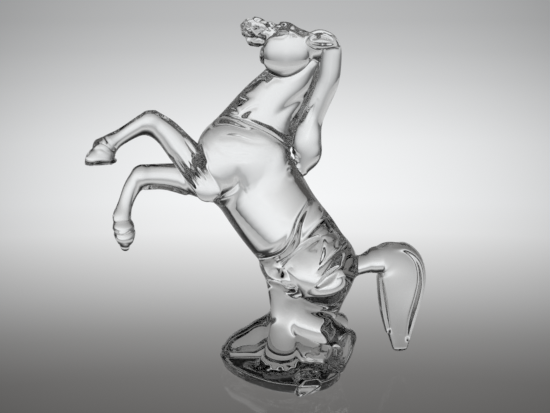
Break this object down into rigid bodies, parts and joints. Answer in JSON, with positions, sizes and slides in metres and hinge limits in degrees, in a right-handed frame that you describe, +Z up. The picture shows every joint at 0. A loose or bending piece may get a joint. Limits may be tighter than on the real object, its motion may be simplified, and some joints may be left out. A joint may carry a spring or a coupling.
{
  "type": "crystal glass figurine",
  "caption": "Clear crystal horse rearing on bent hind legs, head thrown up and tail arched behind it, rising from a mound of rock on a low oval plinth.",
  "frame": {"origin": "middle of the plinth's flat underside, where the figure stands on the table", "axes": "+Z up, the horse faces -X, its near (left) side faces -Y; parts are in metres once packed"},
  "size_m": [0.2771, 0.0935, 0.3002],
  "materials": {
    "crystal": "polished clear crystal"
  },
  "bodies": {
    "root": {"plinth": "crystal", "rim_rock": "crystal", "near_haunch": "crystal", "far_haunch": "crystal", "barrel": "crystal", "near_hind_cannon": "crystal", "near_gaskin": "crystal", "near_hind_hoof": "crystal", "near_shoulder": "crystal", "far_hind_cannon": "crystal", "far_gaskin": "crystal", "far_hind_hoof": "crystal", "far_shoulder": "crystal", "mound": "crystal", "near_forearm": "crystal", "far_forearm": "crystal", "near_fore_cannon": "crystal", "far_fore_cannon": "crystal", "near_fore_hoof": "crystal", "far_fore_hoof": "crystal", "neck": "crystal", "head": "crystal", "muzzle": "crystal", "near_ear": "crystal", "far_ear": "crystal", "mane": "crystal", "tail_dock": "crystal", "tail_skirt": "crystal"}
  },
  "joints": []
}
